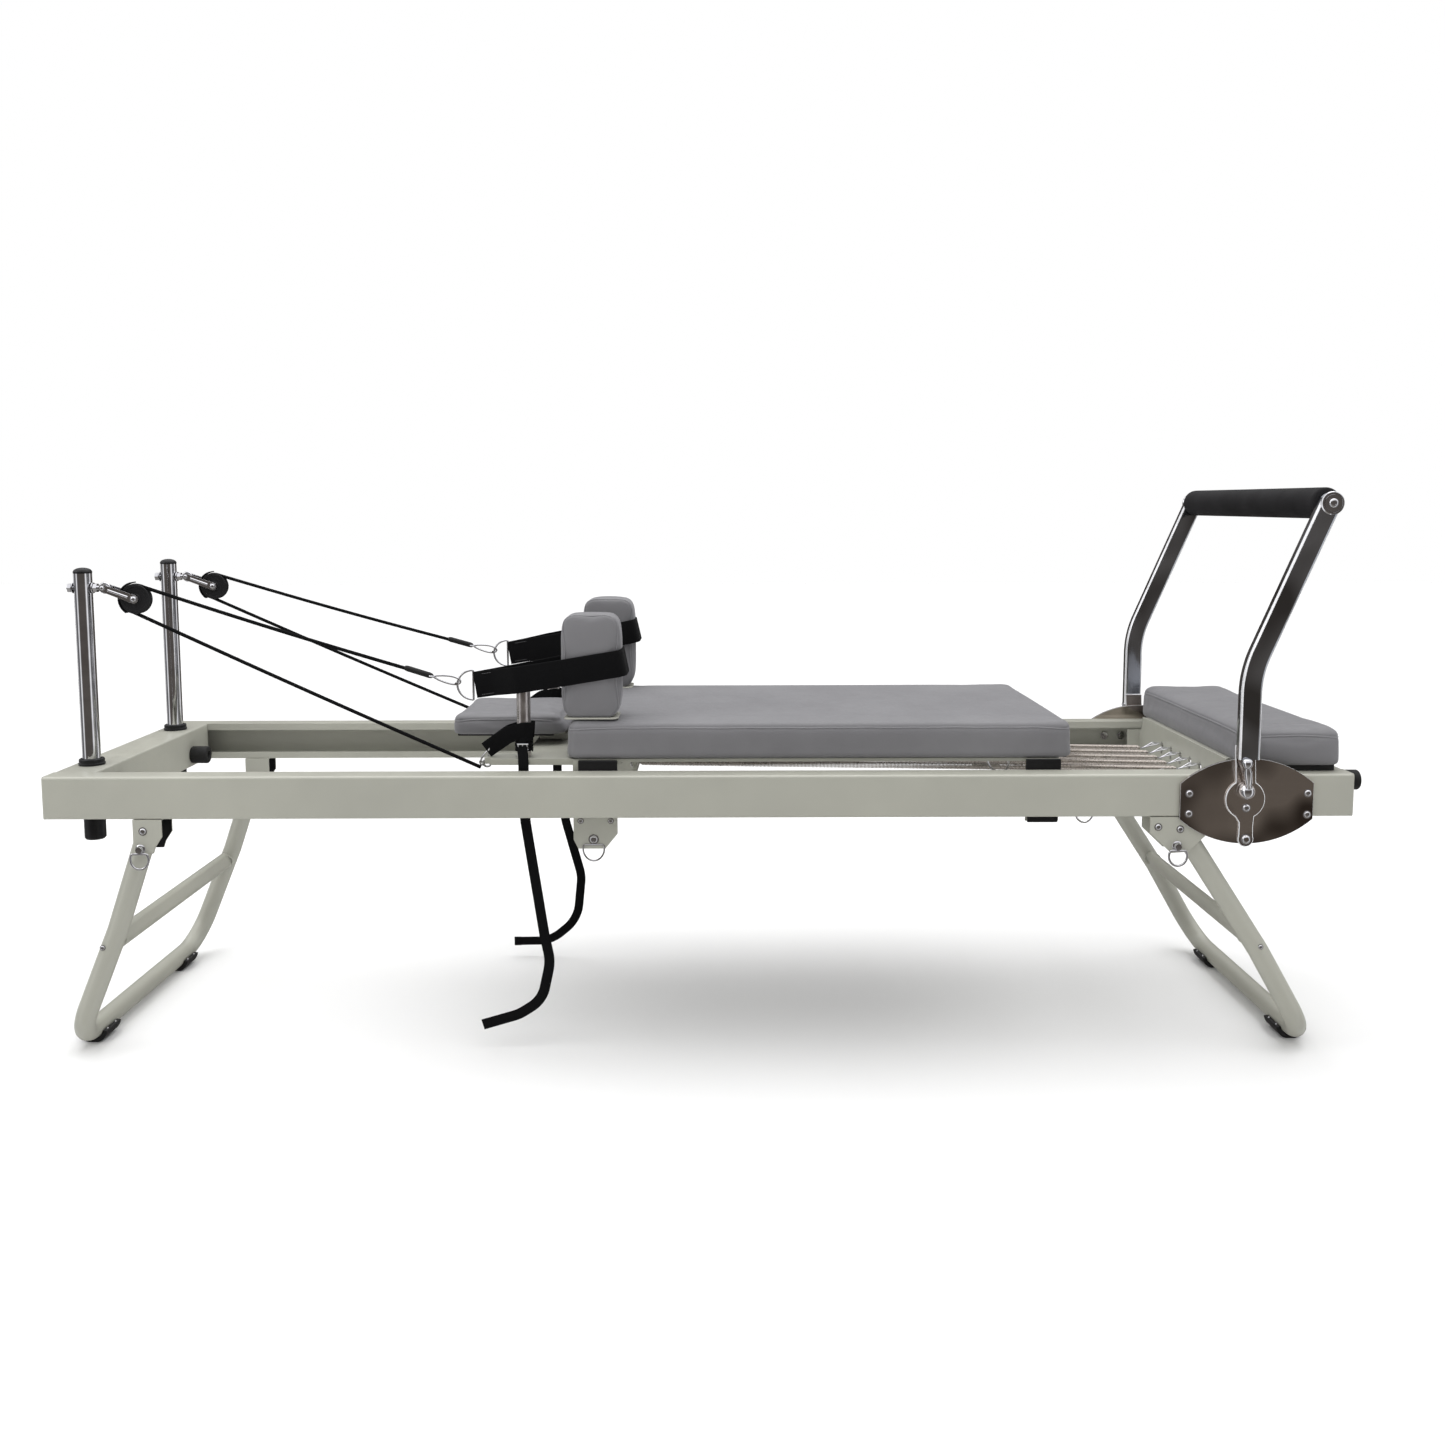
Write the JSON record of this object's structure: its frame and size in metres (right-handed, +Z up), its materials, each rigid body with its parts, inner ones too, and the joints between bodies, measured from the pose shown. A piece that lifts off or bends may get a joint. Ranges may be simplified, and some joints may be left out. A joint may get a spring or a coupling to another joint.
{
  "type": "pilates reformer",
  "caption": "Folding exercise reformer: padded carriage on springs in a railed frame, with tilting headrest, shoulder rests, pulley ropes with loops, hinged footbar and folding legs.",
  "frame": {"origin": "centre of the bounding box on the floor, under the middle of the machine, which stands on its feet", "axes": "+Z up, +X along the rails from the rope posts (head end) to the footbar (foot end), +Y across the frame"},
  "size_m": [2.331, 0.7146, 1.017],
  "materials": {
    "frame_paint": "satin warm light-grey powder coat",
    "upholstery": "mid-grey coated fabric with a fine leather grain, stitched seams",
    "webbing": "black woven webbing and braided rope",
    "black_plastic": "moulded black plastic",
    "black_rubber": "black rubber",
    "foam_grip": "black foam-rubber sleeve",
    "bright_chrome": "polished chrome",
    "mirror_steel": "dark polished stainless steel"
  },
  "bodies": {
    "frame": {"head_cross_rail": "frame_paint", "foot_cross_rail": "frame_paint", "spring_bar": "frame_paint", "foot_pad": "upholstery", "rail_near": "frame_paint", "rail_far": "frame_paint", "pulley_post_near": "bright_chrome", "pulley_post_far": "bright_chrome", "post_cap_near": "black_plastic", "post_cap_far": "black_plastic", "post_sleeve_near": "black_plastic", "post_sleeve_far": "black_plastic", "eye_bolt_near": "bright_chrome", "eye_bolt_far": "bright_chrome", "head_bumper_near": "black_rubber", "head_bumper_far": "black_rubber", "end_foot_near": "black_rubber", "end_foot_far": "black_rubber", "leg_bracket_head_near": "frame_paint", "leg_bracket_head_far": "frame_paint", "leg_bracket_foot_near": "frame_paint", "leg_bracket_foot_far": "frame_paint", "footbar_plate_near": "mirror_steel", "footbar_plate_far": "mirror_steel"},
    "carriage": {"carriage_frame": "frame_paint", "carriage_pad": "upholstery", "shoulder_pad_near": "upholstery", "shoulder_pad_far": "upholstery", "hand_loop_near": "webbing", "hand_loop_far": "webbing", "rope_near": "webbing", "rope_far": "webbing", "spring_1": "bright_chrome", "spring_2": "bright_chrome", "spring_3": "bright_chrome", "spring_4": "bright_chrome", "spring_5": "bright_chrome"},
    "headrest": {"headrest_pad": "upholstery"},
    "footbar": {"footbar_frame": "mirror_steel", "footbar_grip": "foam_grip"},
    "head_leg": {"leg_head": "frame_paint", "leg_head_foot_near": "black_rubber", "leg_head_foot_far": "black_rubber"},
    "foot_leg": {"leg_foot": "frame_paint", "leg_foot_foot_near": "black_rubber", "leg_foot_foot_far": "black_rubber"},
    "wheel_head_near": {"wheel_head_near": "black_plastic"},
    "wheel_head_far": {"wheel_head_far": "black_plastic"},
    "wheel_foot_near": {"wheel_foot_near": "black_plastic"},
    "wheel_foot_far": {"wheel_foot_far": "black_plastic"},
    "lock_lever_near": {"lock_lever_near": "bright_chrome"},
    "lock_lever_far": {"lock_lever_far": "bright_chrome"},
    "pull_pin_head_near": {"pull_pin_head_near": "bright_chrome"},
    "pull_pin_head_far": {"pull_pin_head_far": "bright_chrome"},
    "pull_pin_foot_near": {"pull_pin_foot_near": "bright_chrome"},
    "pull_pin_foot_far": {"pull_pin_foot_far": "bright_chrome"},
    "pulley_arm_near": {"pulley_arm_near": "bright_chrome"},
    "pulley_arm_far": {"pulley_arm_far": "bright_chrome"},
    "pulley_near": {"pulley_near": "black_plastic"},
    "pulley_far": {"pulley_far": "black_plastic"}
  },
  "joints": [
    {"name": "carriage_slide", "type": "slide", "parent": "frame", "child": "carriage", "axis": [-1, 0, 0], "range_m": [0, 0.42], "deforming": ["rope_near", "rope_far", "spring_1", "spring_2", "spring_3", "spring_4", "spring_5"]},
    {"name": "headrest_tilt", "type": "hinge", "parent": "carriage", "child": "headrest", "pos_m": [-0.2755, 0, 0.545], "axis": [0, 1, 0], "range_deg": [0, 25]},
    {"name": "footbar_tilt", "type": "hinge", "parent": "frame", "child": "footbar", "pos_m": [0.9455, 0, 0.403], "axis": [0, 1, 0], "range_deg": [-70, 35]},
    {"name": "leg_head_fold", "type": "hinge", "parent": "frame", "child": "head_leg", "pos_m": [-0.9905, 0, 0.418], "axis": [0, 1, 0], "range_deg": [-101, 0]},
    {"name": "leg_foot_fold", "type": "hinge", "parent": "frame", "child": "foot_leg", "pos_m": [0.8415, 0, 0.418], "axis": [0, -1, 0], "range_deg": [-115, 0]},
    {"name": "wheel_head_near_spin", "type": "hinge", "parent": "carriage", "child": "wheel_head_near", "pos_m": [-0.2005, -0.2845, 0.4704], "axis": [0, 1, 0], "range_deg": [-930, 0]},
    {"name": "wheel_head_far_spin", "type": "hinge", "parent": "carriage", "child": "wheel_head_far", "pos_m": [-0.2005, 0.2845, 0.4704], "axis": [0, 1, 0], "range_deg": [-930, 0]},
    {"name": "wheel_foot_near_spin", "type": "hinge", "parent": "carriage", "child": "wheel_foot_near", "pos_m": [0.6025, -0.2845, 0.4704], "axis": [0, 1, 0], "range_deg": [-930, 0]},
    {"name": "wheel_foot_far_spin", "type": "hinge", "parent": "carriage", "child": "wheel_foot_far", "pos_m": [0.6025, 0.2845, 0.4704], "axis": [0, 1, 0], "range_deg": [-930, 0]},
    {"name": "lock_lever_near_turn", "type": "hinge", "parent": "footbar", "child": "lock_lever_near", "pos_m": [0.9415, -0.3193, 0.49], "axis": [0, 1, 0], "range_deg": [0, 90]},
    {"name": "lock_lever_far_turn", "type": "hinge", "parent": "footbar", "child": "lock_lever_far", "pos_m": [0.9415, 0.3193, 0.49], "axis": [0, 1, 0], "range_deg": [0, 90]},
    {"name": "pull_pin_head_near_pull", "type": "slide", "parent": "frame", "child": "pull_pin_head_near", "axis": [0, -1, 0], "range_m": [0, 0.008]},
    {"name": "pull_pin_head_far_pull", "type": "slide", "parent": "frame", "child": "pull_pin_head_far", "axis": [0, 1, 0], "range_m": [0, 0.008]},
    {"name": "pull_pin_foot_near_pull", "type": "slide", "parent": "frame", "child": "pull_pin_foot_near", "axis": [0, -1, 0], "range_m": [0, 0.008]},
    {"name": "pull_pin_foot_far_pull", "type": "slide", "parent": "frame", "child": "pull_pin_foot_far", "axis": [0, 1, 0], "range_m": [0, 0.008]},
    {"name": "pulley_arm_near_swing", "type": "hinge", "parent": "frame", "child": "pulley_arm_near", "pos_m": [-1.0895, -0.192, 0.841], "axis": [0, 1, 0], "range_deg": [0, 31]},
    {"name": "pulley_arm_far_swing", "type": "hinge", "parent": "frame", "child": "pulley_arm_far", "pos_m": [-1.0895, 0.192, 0.841], "axis": [0, 1, 0], "range_deg": [0, 31]},
    {"name": "pulley_near_spin", "type": "hinge", "parent": "pulley_arm_near", "child": "pulley_near", "pos_m": [-1.0335, -0.192, 0.821], "axis": [0, 1, 0], "continuous": true},
    {"name": "pulley_far_spin", "type": "hinge", "parent": "pulley_arm_far", "child": "pulley_far", "pos_m": [-1.0335, 0.192, 0.821], "axis": [0, 1, 0], "continuous": true}
  ],
  "couplings": [
    {"joint": "wheel_head_near_spin", "follows": "carriage_slide", "rad_per_m": -38.462},
    {"joint": "wheel_head_far_spin", "follows": "carriage_slide", "rad_per_m": -38.462},
    {"joint": "wheel_foot_near_spin", "follows": "carriage_slide", "rad_per_m": -38.462},
    {"joint": "wheel_foot_far_spin", "follows": "carriage_slide", "rad_per_m": -38.462},
    {"joint": "pulley_arm_near_swing", "follows": "carriage_slide", "rad_per_m": 1.2467},
    {"joint": "pulley_arm_far_swing", "follows": "carriage_slide", "rad_per_m": 1.2467}
  ]
}
